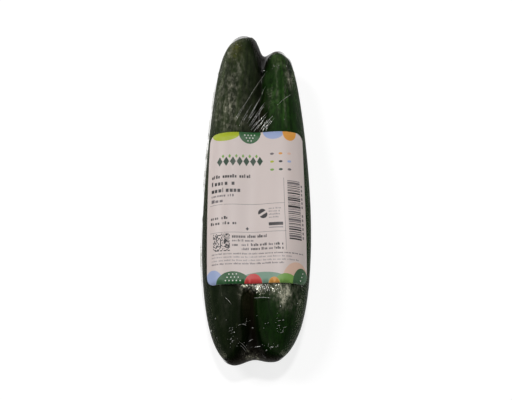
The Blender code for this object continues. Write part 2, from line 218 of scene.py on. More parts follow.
def ringed_mesh(name, first, rings, last):
    """A closed skin of rings, all with the same number of points, between two end points."""
    count, sides = rings.shape[:2]
    ring, side = np.meshgrid(np.arange(count - 1), np.arange(sides), indexing="ij")
    after = (side + 1) % sides
    start = 1 + ring * sides
    quads = np.stack([start + side, start + after, start + sides + after, start + sides + side], axis=-1)
    end = 1 + count * sides
    last_ring = end - sides
    fans = [(0, 1 + (k + 1) % sides, 1 + k) for k in range(sides)]
    fans += [(end, last_ring + k, last_ring + (k + 1) % sides) for k in range(sides)]
    mesh = bpy.data.meshes.new(name)
    points = np.concatenate([[first], rings.reshape(-1, 3), [last]]) + pack_shift
    mesh.from_pydata(points.tolist(), [], quads.reshape(-1, 4).tolist() + fans)
    shape = bmesh.new()
    shape.from_mesh(mesh)
    bmesh.ops.recalc_face_normals(shape, faces=shape.faces)
    shape.to_mesh(mesh)
    shape.free()
    mesh.shade_smooth()
    return mesh


def paint_value(mesh, name, values):
    """Keeps one number for each point of the mesh, for its material to read."""
    layer = mesh.attributes.new(name, "FLOAT", "POINT")
    layer.data.foreach_set("value", np.asarray(values, dtype=np.float32))


def show(name, mesh, *materials):
    obj = bpy.data.objects.new(name, mesh)
    bpy.context.scene.collection.objects.link(obj)
    for material in materials:
        mesh.materials.append(material)
    return obj


def srgb(red, green, blue):
    """A colour as it looks on a screen, 0 to 255 each, as the linear colour that a shader takes."""
    shares = [value / 255 for value in (red, green, blue)]
    return tuple(s / 12.92 if s <= 0.04045 else ((s + 0.055) / 1.055) ** 2.4 for s in shares) + (1.0,)


def new_material(name):
    material = bpy.data.materials.new(name)
    material.use_nodes = True
    return material, material.node_tree.nodes["Principled BSDF"]


def node(material, kind, inputs, **settings):
    """Adds a shader node and returns it. An input is a value, or another node's output to link."""
    made = material.node_tree.nodes.new("ShaderNode" + kind)
    for key, value in settings.items():
        setattr(made, key, value)
    for key, value in inputs.items():
        join(material, value, made.inputs[key])
    return made


def join(material, value, socket):
    if isinstance(value, bpy.types.NodeSocket):
        material.node_tree.links.new(value, socket)
    else:
        socket.default_value = value


def stretched_noise(material, stretch, scale, detail=4.0, rough=0.55):
    """Noise that is drawn out along an axis: stretch is how dense it is along X, Y and Z."""
    place = node(material, "TexCoord", {}).outputs["Object"]
    drawn = node(material, "Mapping", {"Vector": place, "Scale": stretch}).outputs["Vector"]
    settings = {"Vector": drawn, "Scale": scale, "Detail": detail, "Roughness": rough}
    return node(material, "TexNoise", settings).outputs["Fac"]


def painted(material, name):
    return node(material, "Attribute", {}, attribute_name=name).outputs["Fac"]


def stepped(material, value, low, high, to_low=0.0, to_high=1.0):
    """value, from low to high, taken smoothly to to_low and to_high."""
    inputs = {"Value": value, "From Min": low, "From Max": high, "To Min": to_low, "To Max": to_high}
    return node(material, "MapRange", inputs, interpolation_type="SMOOTHSTEP").outputs["Result"]


def times(material, first, second):
    return node(material, "Math", {0: first, 1: second}, operation="MULTIPLY").outputs[0]


def plus(material, first, second):
    return node(material, "Math", {0: first, 1: second}, operation="ADD", use_clamp=True).outputs[0]


def mixed(material, share, first, second):
    made = node(material, "Mix", {}, data_type="RGBA")
    join(material, share, made.inputs["Factor"])
    join(material, first, made.inputs[6])
    join(material, second, made.inputs[7])
    return made.outputs[2]


CORK = srgb(92, 86, 60)


def skin_material(name, deep, middle, pale, blush, shaded_end):
    """Dark green skin with drawn-out mottling, pale stripes and dots, a yellow blush and a corky stub, with
    painted shade towards the blossom end, and wart tops painted paler for their pale spines and a painted
    highlight.
    """
    material, shader = new_material(name)
    mottle = stepped(material, stretched_noise(material, (1.0, 0.09, 1.0), 260.0, 5.0, 0.6), 0.36, 0.68)
    blotch = stepped(material, stretched_noise(material, (1.0, 0.35, 1.0), 620.0, 5.0, 0.65), 0.40, 0.70)
    clouds = stepped(material, stretched_noise(material, (1.0, 0.5, 1.0), 90.0, 4.0), 0.38, 0.66)
    lighter = plus(material, times(material, mottle, 0.55), times(material, blotch, 0.45))
    colour = mixed(material, lighter, deep, middle)
    # painted shade: the blossom half is mixed towards a darker green
    colour = mixed(material, painted(material, "blossom_shade"), colour, shaded_end)
    stripe = times(material, painted(material, "stripe"), plus(material, clouds, 0.3))
    colour = mixed(material, times(material, stripe, plus(material, blotch, 0.35)), colour, pale)
    dots = stepped(material, stretched_noise(material, (1.0, 0.6, 1.0), 1500.0, 2.0), 0.66, 0.74, 0.0, 0.5)
    colour = mixed(material, times(material, dots, plus(material, clouds, 0.2)), colour, pale)
    blushed = times(material, painted(material, "blush"), plus(material, blotch, 0.35))
    colour = mixed(material, blushed, colour, blush)
    # the wart tops are painted paler: partly their pale spines, partly a painted highlight
    colour = mixed(material, painted(material, "wart"), colour, pale)
    colour = mixed(material, painted(material, "cork"), colour, CORK)
    grain = stretched_noise(material, (1.0, 0.4, 1.0), 1100.0, 5.0, 0.6)
    bump = node(material, "Bump", {"Height": grain, "Strength": 0.35, "Distance": 0.12 * MM})
    join(material, colour, shader.inputs["Base Color"])
    join(material, stepped(material, mottle, 0.0, 1.0, 0.50, 0.62), shader.inputs["Roughness"])
    join(material, bump.outputs["Normal"], shader.inputs["Normal"])
    shader.inputs["Specular IOR Level"].default_value = 0.05
    return material


def build_cucumber(name, fruit, stripes, blush_at, material):
    """One cucumber's skin, with what its material reads painted on the points of the mesh."""
    profile = fruit_profile(fruit)
    sides = np.arange(SKIN_SIDES) * 2 * math.pi / SKIN_SIDES
    angle, y = np.meshgrid(sides, profile[:, 1])[0], np.repeat(profile[:, 1:], SKIN_SIDES, axis=1)
    radius = np.repeat(profile[:, :1], SKIN_SIDES, axis=1)
    off_stub = np.clip((fruit["stem_y"] - y) / END_FADE, 0, 1)
    on_body = off_stub * np.clip((y - fruit["blossom_y"]) / END_FADE, 0, 1)
    draw = random.Random(fruit["seed"] + 100)
    low, high = fruit["blossom_y"] + PIMPLES_FROM_BLOSSOM, fruit["stem_y"] - PIMPLES_FROM_STEM
    pimples = [(draw.uniform(0, 2 * math.pi), draw.uniform(low, high)) for _ in range(PIMPLES)]
    warts = raised_spots(wart_places(fruit), angle, y, radius, WART_WIDTH, WART_HEIGHT)
    fine = raised_spots(pimples, angle, y, radius, PIMPLE_WIDTH, PIMPLE_HEIGHT)
    neck = np.clip(1 - (fruit["stem_y"] - y) / NECK_LENGTH, 0, 1) * on_body
    furrows = NECK_FURROW * neck * np.cos(FURROWS * angle + fruit["first_rib"])
    stub = (radius < 1.1 * STUB_RADIUS) * np.clip(y / MM, 0, 1)
    facets = FACET_HEIGHT * stub * np.cos(STUB_FACETS * angle) * radius / STUB_RADIUS
    far = radius * skin_swell(fruit, angle, y) + (warts + fine) * on_body + furrows + facets
    into_end = np.clip(1 - (fruit["stem_y"] + STUB_LENGTH - y) / STUB_SIDEWAYS_OVER, 0, None)
    middle = centre_line(fruit, y) + fruit["stub_shift"] * into_end**2
    rings = np.stack([middle + far * np.cos(angle), y, axis_height(fruit) + far * np.sin(angle)], axis=-1)
    rings[..., 2] = np.maximum(rings[..., 2], LOWEST_SKIN)
    ends = [rings[k].mean(axis=0) for k in (0, -1)]
    mesh = ringed_mesh(name, ends[0], rings, ends[1])

    def keep(layer, values):
        paint_value(mesh, layer, np.concatenate([[values[0].mean()], values.ravel(), [values[-1].mean()]]))

    hidden = [
        (
            HIDDEN_FROM + HIDDEN_SPREAD * (k + draw.uniform(-0.3, 0.3)) / HIDDEN_STRIPES,
            draw.uniform(3, 6),
            draw.uniform(0.3, 0.7),
        )
        for k in range(HIDDEN_STRIPES)
    ]
    striped = np.zeros_like(angle)
    for stripe_angle, width, strength in stripes + hidden:
        wander = STRIPE_WANDER * np.sin(y / WANDER_LENGTH + stripe_angle)
        turn = (angle + wander - math.radians(stripe_angle) + math.pi) % (2 * math.pi) - math.pi
        striped += strength * np.exp(-((turn / math.radians(width)) ** 2))
    fading = np.clip(1 - (STRIPES_FROM - y) / STRIPES_FADE, LEAST_STRIPES, 1)
    keep("stripe", np.clip(striped, 0, 1) * on_body * fading)
    # painted shade towards the blossom end
    keep("blossom_shade", fruit["blossom_shade"] * np.clip((BLOSSOM_SHADE_FROM - y) / BLOSSOM_SHADE_LENGTH, 0, 1))
    # wart tops painted paler, partly for their spines and partly as a painted highlight
    keep("wart", np.clip(warts / WART_HEIGHT, 0, 1) * 0.35)
    keep("cork", np.clip(stub + 0.5 * np.clip(1 - radius / (1.5 * SCAR_RADIUS), 0, 1) * (y < 0), 0, 1))
    blush_x, blush_y, blush_width, blush_length, blush_share = blush_at
    from_blush = ((rings[..., 0] - blush_x) / blush_width) ** 2 + ((y - blush_y) / blush_length) ** 2
    keep("blush", blush_share * np.exp(-from_blush) * np.clip(np.sin(angle), 0, 1))
    obj = show(name, mesh, material)
    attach(obj, "root")
    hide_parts(name.replace("_skin", ""))
    return obj


# Each skin: its deep, middle and pale greens, the blush near the stem, and the darker green of the painted
# shade at the blossom end.
OLIVE = [srgb(17, 27, 9), srgb(38, 53, 23), srgb(82, 92, 60), srgb(104, 102, 42), srgb(6, 19, 2)]
GREEN = [srgb(8, 26, 4), srgb(23, 56, 10), srgb(62, 104, 40), srgb(84, 100, 44), srgb(6, 25, 3)]
left_skin = skin_material("olive_skin", *OLIVE)
right_skin = skin_material("green_skin", *GREEN)
# Stripes on the sides that show: degrees round from +X, half width in degrees, strength.
LEFT_STRIPES = [
    (8, 5, 0.2), (38, 5, 0.25), (62, 4, 0.2), (84, 6, 0.3), (108, 4, 0.3), (133, 6, 0.4), (160, 5, 0.3)
]
RIGHT_STRIPES = [
    (14, 5, 0.25), (46, 4, 0.2), (71, 3, 0.4), (84, 3, 0.5), (106, 17, 0.42), (140, 5, 0.2), (168, 5, 0.3)
]
# The yellow blush on the shoulder: across, along, half width, half length, strength.
LEFT_BLUSH = (-13.5 * MM, 99.0 * MM, 4.0 * MM, 8.0 * MM, 0.55)
RIGHT_BLUSH = (14.0 * MM, 93.0 * MM, 5.0 * MM, 5.0 * MM, 0.25)
build_cucumber("cucumber_left_skin", LEFT, LEFT_STRIPES, LEFT_BLUSH, left_skin)
build_cucumber("cucumber_right_skin", RIGHT, RIGHT_STRIPES, RIGHT_BLUSH, right_skin)

# The film
# One tube of clear shrink film, pulled tight round both cucumbers by heat. It is welded along the left side
# and lapped along the underside, where it has one vent. It bridges the groove between the cucumbers, and is
# crumpled below the label's lower edge.

FILM_OFF_SKIN = 1.25 * MM  # the film's outer face, where the solid's is
FILM_OVER_STUB = 1.5 * MM
WEB_TOP, WEB_BOTTOM, WEB_AT_STEMS, WEB_AT_BLOSSOMS = 21.0 * MM, 30.0 * MM, 8.0 * MM, 20.0 * MM
WEB_NECK, WEB_HEEL = (66.0 * MM, 94.0 * MM), (-70.0 * MM, -92.0 * MM)
WEB_CHANGE = 12.0 * MM
GROOVE_FROM, GROOVE_TO = -70.0 * MM, 80.0 * MM
FIN_HEIGHT, FIN_HALF_WIDTH, FIN_FROM_GROOVE = 0.6 * MM, 2.2 * MM, 14.0 * MM
SEAM_BELOW_AXIS, SEAM_HALF_WIDTH, SEAM_LEFT_OF = 1.0 * MM, 4.0 * MM, -8.0 * MM
LAP_HALF_WIDTH, LAP_FOLDED = 6.0 * MM, 0.95  # the two edges are lapped and gathered along the underside
CRUMPLE_LIFT, PULL_LIFT, RIPPLE_LIFT = 0.28, 0.16, 0.05  # in millimetres
# The patches stand for the glare of the light on the crumpled film, painted milky.
MOST_HAZE = 2.4  # above 1 the milky specks run together into patches
VENT_RADIUS, VENT_BELOW = 3.0 * MM, 5.0 * MM
VENT_PLACE = (2.5 * MM, 66.0 * MM)
FILM_SIDES, FILM_RINGS = 264, 370
FILM_TOP_SHARE = 0.62  # the share of the sides that is spent on the upper half
FILM_CAP_SHARE = 0.2
FILM_CAPS_FROM = (-74.0 * MM, 76.0 * MM)
FILM_REACH = 70.0 * MM
FILM_HALVINGS = 24
PROFILE_POINTS = 60
TABLE_STEP = 0.4 * MM  # the grid of distances, and how far it reaches along the pack and away from it
TABLE_FROM, TABLE_TO, TABLE_ACROSS = -170.0 * MM, 190.0 * MM, 90.0 * MM
LABEL_MIDDLE_Y, LABEL_LENGTH, LABEL_WIDTH = -9.9 * MM, 93.0 * MM, 58.6 * MM
LABEL_PRESS_MARGIN = 2.0 * MM
mid_height = (axis_height(LEFT) + axis_height(RIGHT)) / 2


def distance_table(fruit):
    """Distance to the body, negative inside, on a grid of places along it and away from its centre line."""
    stem_y = fruit["stem_y"] + STUB_LENGTH + FILM_OVER_STUB
    places = ring_places(fruit, stem_y, PROFILE_POINTS)
    profile = np.stack([places, body_radius(fruit, places, stem_y)], axis=1)
    along = np.arange(TABLE_FROM, TABLE_TO, TABLE_STEP)
    across = np.arange(0, TABLE_ACROSS, TABLE_STEP)
    grid = np.stack(np.meshgrid(along, across, indexing="ij"), axis=-1)
    nearest = np.full(grid.shape[:2], np.inf)
    for start, end in zip(profile[:-1], profile[1:]):
        run = end - start
        share = np.clip(((grid - start) @ run) / (run @ run), 0, 1)
        nearest = np.minimum(nearest, np.linalg.norm(grid - start - share[..., None] * run, axis=-1))
    inside = (grid[..., 1] < body_radius(fruit, grid[..., 0], stem_y)) & (grid[..., 0] > fruit["blossom_y"])
    return np.where(inside, -nearest, nearest)


left_table, right_table = distance_table(LEFT), distance_table(RIGHT)


def distance_to_fruit(fruit, table, points):
    across = np.hypot(points[:, 0] - centre_line(fruit, points[:, 1]), points[:, 2] - axis_height(fruit))
    row = np.clip((points[:, 1] - TABLE_FROM) / TABLE_STEP, 0, table.shape[0] - 1.001)
    column = np.clip(across / TABLE_STEP, 0, table.shape[1] - 1.001)
    i, j = row.astype(int), column.astype(int)
    s, t = row - i, column - j
    low = table[i, j] * (1 - t) + table[i, j + 1] * t
    high = table[i + 1, j] * (1 - t) + table[i + 1, j + 1] * t
    return low * (1 - s) + high * s


def distance_to_pair(points):
    """Distance to both cucumbers, blended so that the surface bridges the groove between them."""
    to_left = distance_to_fruit(LEFT, left_table, points)
    to_right = distance_to_fruit(RIGHT, right_table, points)
    above = np.clip(0.5 + (points[:, 2] - mid_height) / WEB_CHANGE, 0, 1)
    web = WEB_BOTTOM + (WEB_TOP - WEB_BOTTOM) * above * above * (3 - 2 * above)
    neck = np.clip((points[:, 1] - WEB_NECK[0]) / (WEB_NECK[1] - WEB_NECK[0]), 0, 1)
    web += (WEB_AT_STEMS - web) * neck * neck * (3 - 2 * neck)
    heel = np.clip((points[:, 1] - WEB_HEEL[0]) / (WEB_HEEL[1] - WEB_HEEL[0]), 0, 1)
    web += (WEB_AT_BLOSSOMS - web) * heel * heel * (3 - 2 * heel)
    overlap = np.clip(1 - np.abs(to_left - to_right) / web, 0, None)
    return np.minimum(to_left, to_right) - overlap**2 * web / 4


def film_surface(start, direction, gap):
    """Where rays from inside the pack meet the surface at this distance from the skins."""
    near = np.zeros(len(start))
    far = np.full(len(start), FILM_REACH)
    for _ in range(FILM_HALVINGS):
        middle = (near + far) / 2
        outside = distance_to_pair(start + direction * middle[:, None]) > gap
        far = np.where(outside, middle, far)
        near = np.where(outside, near, middle)
    return start + direction * near[:, None]


def groove_line(y):
    """Sideways place of the line between the two cucumbers."""
    y = np.clip(y, GROOVE_FROM, GROOVE_TO)
    left = centre_line(LEFT, y) + body_radius(LEFT, y, LEFT["stem_y"])
    right = centre_line(RIGHT, y) - body_radius(RIGHT, y, RIGHT["stem_y"])
    return (left + right) / 2


def film_rays():
    """Start and direction of each ring's and side's ray: square to the pack, fanning out over both ends."""
    polar = (np.arange(FILM_RINGS) + 1) / (FILM_RINGS + 1)
    turn = np.arange(FILM_SIDES) / FILM_SIDES
    around = np.where(
        turn < FILM_TOP_SHARE,
        turn / FILM_TOP_SHARE * math.pi,
        math.pi + (turn - FILM_TOP_SHARE) / (1 - FILM_TOP_SHARE) * math.pi,
    )
    polar, around = np.meshgrid(polar, around, indexing="ij")
    cap = FILM_CAP_SHARE
    along = np.clip((polar - cap) / (1 - 2 * cap), 0, 1)
    over_stems = polar / cap * math.pi / 2
    over_blossoms = math.pi - (1 - polar) / cap * math.pi / 2
    tilt = np.where(polar < cap, over_stems, np.where(polar > 1 - cap, over_blossoms, math.pi / 2))
    y = FILM_CAPS_FROM[1] + (FILM_CAPS_FROM[0] - FILM_CAPS_FROM[1]) * along
    start = np.stack([groove_line(y), y, np.full_like(y, mid_height)], axis=-1)
    direction = np.stack(
        [np.sin(tilt) * np.cos(around), np.cos(tilt), np.sin(tilt) * np.sin(around)], axis=-1
    )
    return start.reshape(-1, 3), direction.reshape(-1, 3)


def raise_fin(points):
    """Draws the film out into the low welded seam along the left side and round the left ends."""
    near_seam = np.exp(-(((points[:, 2] - axis_height(LEFT)) / FIN_HALF_WIDTH) ** 2))
    middle = (LEFT["stem_y"] + LEFT["blossom_y"]) / 2
    half = (LEFT["stem_y"] - LEFT["blossom_y"]) / 2
    out_of_groove = np.clip((groove_line(points[:, 1]) - points[:, 0]) / FIN_FROM_GROOVE, 0, 1)
    sweep = np.clip((points[:, 1] - middle) / half, -1, 1) ** 9
    lift = FIN_HEIGHT * near_seam * out_of_groove
    moved = points.copy()
    moved[:, 0] -= lift * (1 - np.abs(sweep))
    moved[:, 1] += 0.5 * lift * sweep
    return moved


def off_label(points):
    """1 away from the label, falling to 0 under it, where the film is pressed smooth."""
    beside = (np.abs(points[:, 0]) - LABEL_WIDTH / 2) / LABEL_PRESS_MARGIN
    beyond = (np.abs(points[:, 1] - LABEL_MIDDLE_Y) - LABEL_LENGTH / 2) / LABEL_PRESS_MARGIN
    return np.clip(np.maximum(beside, beyond) + 0.3, 0, 1)


def patch(points, x, y, half_width, half_length, both_sides=False):
    """A soft round patch on the upper side, or on both sides, 1 in its middle."""
    across = (points[:, 0] - x * MM) / (half_width * MM)
    along = (points[:, 1] - y * MM) / (half_length * MM)
    return np.exp(-(across**2 + along**2)) * (1.0 if both_sides else points[:, 2] > 0.5 * mid_height)


# Hazy places of the film, partly its own haze and partly painted sheen and glare of the light, in
# millimetres:
# across, along, half width, half length, strength.
HAZE_AND_SHEEN = [
    (-17.8, 48.0, 4.2, 9.0, 0.32),
    (-14.4, 66.0, 4.4, 16.0, 0.26),
    (-22.0, 60.0, 4.5, 30.0, 0.12),
    (-9.5, 84.0, 2.4, 7.0, 0.16),
    (-8.0, 62.0, 4.0, 26.0, 0.07),
    (-11.0, 112.0, 9.0, 5.0, 0.36),
    (-17.0, 94.0, 6.0, 12.0, 0.26),
    (21.0, 76.0, 2.0, 9.0, 0.34),
    (13.0, 70.0, 1.4, 20.0, 0.06),
    (17.5, 66.0, 1.0, 18.0, 0.12),
    (-1.0, 40.0, 4.2, 2.2, 0.12),
    (2.0, -58.0, 3.4, 2.6, 0.85),
    (9.5, -57.0, 3.6, 2.0, 0.55),
    (11.0, -60.5, 3.0, 3.0, 0.50),
    (14.4, -65.0, 2.4, 4.6, 0.90),
    (17.6, -62.0, 2.6, 6.0, 0.40),
    (22.0, -64.0, 2.0, 8.0, 0.20),
    (-1.6, -93.0, 5.0, 4.0, 0.60),
    (-8.0, -88.0, 3.0, 4.0, 0.08),
    (3.0, 93.0, 3.6, 10.0, 0.06),
    (-0.5, 106.0, 3.6, 8.0, 0.05),
    (-17.0, -65.0, 4.0, 5.0, 0.06),
    (-17.5, -75.0, 3.0, 4.0, 0.03),
    (-14.0, 42.0, 5.0, 6.0, 0.14),
    (13.4, -62.0, 4.8, 3.6, 1.00),
    (4.0, -58.2, 8.0, 1.5, 0.90),
    (17.0, -59.6, 3.0, 3.0, 0.35),
    (23.8, -70.0, 1.8, 12.0, 0.12),
    (14.0, 88.0, 4.0, 3.0, 0.14),
]

# Places where the film is gathered in many folds and painted dark, partly for the folds and partly as
# painted shade in the groove and at the ends, which hides what is behind them: across, along, half width,
# half length, strength.
GATHERED_AND_SHADE = [
    (-2.0, -95.5, 8.0, 6.5, 1.30),
    (-1.0, -84.0, 2.6, 7.0, 0.60),
    (-13.0, -97.0, 9.0, 2.4, 0.85),
    (10.0, -95.6, 8.0, 2.4, 0.85),
    (4.6, 94.0, 4.0, 11.0, 0.90),
    (-0.5, 106.0, 3.6, 8.0, 0.95),
    (3.4, 50.0, 1.6, 6.0, 0.35),
    (21.6, 90.0, 1.6, 9.0, 0.40),
    (5.2, 62.0, 1.6, 9.0, 0.40),
    (-11.0, 114.0, 10.0, 3.4, 0.55),
    (-5.4, -71.0, 2.8, 13.0, 0.45),
    (2.0, 45.0, 5.0, 9.0, 0.62),
    (12.0, 102.8, 8.0, 2.6, 0.80),
    (-1.5, -72.0, 1.8, 14.0, 0.50),
]

# Milky streaks where the film is drawn out, partly its own haze and partly painted highlights of its
# wrinkles and glare on its crumples: foot across and along, head across and along, half width, strength.
MILKY_AND_SHEEN_STREAKS = [
    (-12.5, 43.5, 7.2, 83.4, 0.45, 0.20),
    (-4.8, 45.5, 3.5, 62.8, 0.60, 0.14),
    (-7.6, 43.6, -4.8, 49.4, 0.80, 0.20),
    (-10.2, 40.3, -2.0, 57.3, 0.70, 0.12),
    (-13.5, 44.0, -5.4, 58.4, 0.90, 0.12),
    (-3.9, 40.6, 5.8, 57.9, 0.50, 0.12),
    (-2.8, 37.6, 3.5, 46.5, 0.80, 0.12),
    (1.0, 37.6, 5.0, 42.0, 1.00, 0.10),
    (5.4, 37.4, 8.6, 45.0, 0.70, 0.18),
    (12.4, 54.8, 21.6, 64.6, 0.40, 0.20),
    (17.2, 70.0, 17.2, 53.0, 0.60, 0.14),
    (17.2, 53.0, 18.4, 38.0, 0.60, 0.12),
    (12.6, 84.0, 13.4, 44.0, 0.90, 0.10),
    (18.4, 84.0, 22.0, 69.0, 1.30, 0.26),
    (-24.0, 42.0, -20.0, 88.0, 1.60, 0.10),
    (-19.5, 44.0, -13.5, 76.0, 1.50, 0.22),
    (-16.0, 52.0, -10.5, 88.0, 1.60, 0.09),
    (-5.0, -56.2, 3.2, -57.8, 0.60, 0.90),
    (1.0, -57.6, 3.0, -62.8, 0.80, 1.00),
    (5.9, -57.0, 13.8, -62.2, 0.80, 1.30),
    (6.6, -60.0, 9.8, -60.8, 0.50, 0.90),
]
LADDER_RUNGS = 8
# painted highlights: the ladder's wrinkles are only milky lines that stand for the light on them
for number in range(LADDER_RUNGS):  # a faint ladder of wrinkles on the right cucumber
    MILKY_AND_SHEEN_STREAKS.append((5.9, 53.6 + 1.8 * number, 11.2, 55.8 + 1.85 * number, 0.28, 0.55))


def streak(points, foot_x, foot_y, head_x, head_y, half_width):
    """A soft streak on the upper side, 1 along its middle, which fades out towards its head."""
    foot = np.array([foot_x, foot_y]) * MM
    run = np.array([head_x - foot_x, head_y - foot_y]) * MM
    share = (points[:, :2] - foot) @ run / (run @ run)
    nearest = np.clip(share, 0, 1)[:, None] * run
    far = np.linalg.norm(points[:, :2] - foot - nearest, axis=1) / (half_width * MM)
    return np.exp(-far * far) * np.clip(3 - 3 * share, 0, 1) * (points[:, 2] > 0.5 * mid_height)


# Where the film itself is wrinkled, in millimetres: across, along, half width, half length.
CRUMPLE, SIDE_CRUMPLE, GROOVE_PULL = (8, -60, 11, 6), (15.5, -62, 4, 7), (3, 58, 7, 22)
film_start, film_direction = film_rays()
film_points = raise_fin(film_surface(film_start, film_direction, FILM_OFF_SKIN))
x_mm, y_mm = film_points[:, 0] / MM, film_points[:, 1] / MM
free = off_label(film_points)
crumple = patch(film_points, *CRUMPLE) + 0.6 * patch(film_points, *SIDE_CRUMPLE)
groove_pull = patch(film_points, *GROOVE_PULL)
# Crossing waves make the crumples, slanting ones the pull over the groove, and slow ones the ripple.
creases = np.sin(x_mm * 2.6 + 1.7 * np.sin(y_mm * 0.9)) * np.sin(y_mm * 2.1 + 1.3 * np.sin(x_mm * 1.1))
slant = np.sin((x_mm * 0.86 - y_mm * 0.34) * 2.9 + 0.8 * np.sin(y_mm * 0.21))
ripple = np.sin(y_mm * 0.55 + 0.9 * np.sin(x_mm * 0.35)) * np.sin(x_mm * 0.8 + y_mm * 0.05)
lift = CRUMPLE_LIFT * crumple * creases + PULL_LIFT * groove_pull * slant + RIPPLE_LIFT * ripple
film_points = film_points + film_direction * (lift * free * MM)[:, None]
film_points[:, 2] = np.maximum(film_points[:, 2], 0.0)
# The haze is partly the film's own and partly painted sheen and glare where the light catches it.
haze_and_sheen = sum(strength * patch(film_points, *place) for *place, strength in HAZE_AND_SHEEN)
haze_and_sheen += sum(strength * streak(film_points, *place) for *place, strength in MILKY_AND_SHEEN_STREAKS)
# Painted shade: gathered places and the lap are painted dark, partly for the film's folds and partly for
# the shade in the groove and at the ends.
folded_and_shade = sum(strength * patch(film_points, *place, both_sides=True) for *place, strength in GATHERED_AND_SHADE)
from_lap = (film_points[:, 0] - groove_line(film_points[:, 1])) / LAP_HALF_WIDTH
lap = LAP_FOLDED * np.exp(-(from_lap**4)) * (film_points[:, 2] < 0.6 * mid_height)
folded_and_shade += lap
from_seam = (film_points[:, 2] - axis_height(LEFT) + SEAM_BELOW_AXIS) / SEAM_HALF_WIDTH
seam = np.exp(-(from_seam**2)) * (film_points[:, 0] < SEAM_LEFT_OF)
# The weld is milky beside the label's upper half and above it, and again near its lower corner, partly its
# own haze and partly a painted sheen for the light it catches at the edge.
seam_milk_and_sheen = np.clip((y_mm - 2) / 14, 0, 1) * np.clip((84 - y_mm) / 20, 0, 1)
seam_milk_and_sheen += np.exp(-(((y_mm + 38) / 13) ** 2))
seam *= 0.05 + 0.80 * seam_milk_and_sheen
film_rings = film_points.reshape(FILM_RINGS, FILM_SIDES, 3)
film_mesh = ringed_mesh("film_skin", film_rings[0].mean(axis=0), film_rings, film_rings[-1].mean(axis=0))


def paint_film(name, values, at_ends):
    paint_value(film_mesh, name, np.concatenate([[at_ends], values, [at_ends]]))


paint_film("haze_and_sheen", np.clip(haze_and_sheen, 0, MOST_HAZE), 0.0)
paint_film("folded_and_shade", np.clip(folded_and_shade, 0, 1), 0.5)
paint_film("lap", lap, 0.0)
paint_film("seam", np.clip(seam, 0, 1), 0.0)

# The vent is a clean round hole, so the edge points of what is left are drawn onto its circle.
cutting = bmesh.new()
cutting.from_mesh(film_mesh)
vent_middle = Vector((VENT_PLACE[0] + pack_shift[0], VENT_PLACE[1] + pack_shift[1], 0))


def in_vent(face):
    middle = face.calc_center_median()
    return middle.z < VENT_BELOW and (middle - vent_middle).xy.length < VENT_RADIUS


bmesh.ops.delete(cutting, geom=[face for face in cutting.faces if in_vent(face)], context="FACES")
for vert in cutting.verts:
    if vert.is_boundary:
        outward = (vert.co - vent_middle).xy.normalized() * VENT_RADIUS
        vert.co.xy = vent_middle.xy + outward
cutting.to_mesh(film_mesh)
cutting.free()

# The film's colours: milky with its painted sheen, dark where gathered and painted as shade, and lapped.
MILKY_AND_SHEEN_FILM, GATHERED_AND_SHADE_FILM, LAPPED_FILM = srgb(226, 224, 198), srgb(22, 19, 12), srgb(74, 76, 66)
FILM_IOR, FILM_GLOSS = 1.48, 0.28
MOST_MIRROR, FILM_ROUGHNESS = 0.011, 0.12
LEAST_HAZE = 0.004


def film_material(name, most_mirror, roughness):
    """Clear film: it mirrors a little, is milky where it is crumpled, with painted sheen and glare, and
    dark where it is gathered, with painted shade in the groove and at the ends.
    """
    material, shader = new_material(name)
    slant = times(material, node(material, "Fresnel", {"IOR": FILM_IOR}).outputs["Fac"], FILM_GLOSS)
    mirror = node(material, "Math", {0: slant, 1: most_mirror}, operation="MINIMUM").outputs[0]
    fine_noise = stretched_noise(material, (1.0, 0.45, 1.0), 620.0, 6.0, 0.7)
    fine = stepped(material, fine_noise, 0.40, 0.68, 0.08, 1.0)
    cloud_noise = stretched_noise(material, (1.0, 0.6, 1.0), 170.0, 5.0, 0.65)
    clouds = stepped(material, cloud_noise, 0.36, 0.64, 0.2, 1.0)
    painted_haze_and_sheen, folded_and_shade, lap = (painted(material, name) for name in ("haze_and_sheen", "folded_and_shade", "lap"))

    # Milky film, partly its own haze and partly painted sheen and glare.
    haze_and_sheen = plus(material, painted_haze_and_sheen, LEAST_HAZE)
    specks = times(material, haze_and_sheen, times(material, fine, clouds))
    seam = times(material, times(material, painted(material, "seam"), clouds), plus(material, fine, 0.35))
    glare_patches = times(material, stepped(material, painted_haze_and_sheen, 1.0, MOST_HAZE, 0.0, 0.55), clouds)
    milky_and_sheen = plus(material, plus(material, specks, seam), glare_patches)
    mirror = plus(material, mirror, times(material, folded_and_shade, plus(material, clouds, 0.7)))
    alpha = plus(material, mirror, milky_and_sheen)
    join(material, alpha, shader.inputs["Alpha"])

    # What mirrors counts as metal, and what is milky or lapped does not.
    clear_part = node(material, "Math", {0: mirror, 1: alpha}, operation="DIVIDE", use_clamp=True)
    metal = times(material, clear_part.outputs[0], stepped(material, lap, 0.0, 1.0, 1.0, 0.2))
    join(material, metal, shader.inputs["Metallic"])
    rough = stepped(material, folded_and_shade, 0.0, 0.6, roughness, 0.55)
    join(material, rough, shader.inputs["Roughness"])
    creased = stepped(material, specks, 0.0, 0.5, 1.0, 0.55)
    # painted shade: gathered places turn dark brown
    folds_and_shade = times(material, stepped(material, folded_and_shade, 0.0, 0.18), creased)
    colour = mixed(material, folds_and_shade, MILKY_AND_SHEEN_FILM, GATHERED_AND_SHADE_FILM)
    join(material, mixed(material, lap, colour, LAPPED_FILM), shader.inputs["Base Color"])

    crinkle = stretched_noise(material, (1.0, 0.55, 1.0), 330.0, 4.0, 0.55)
    bump = node(material, "Bump", {"Height": crinkle, "Strength": 0.14, "Distance": 0.24 * MM})
    join(material, bump.outputs["Normal"], shader.inputs["Normal"])
    return material


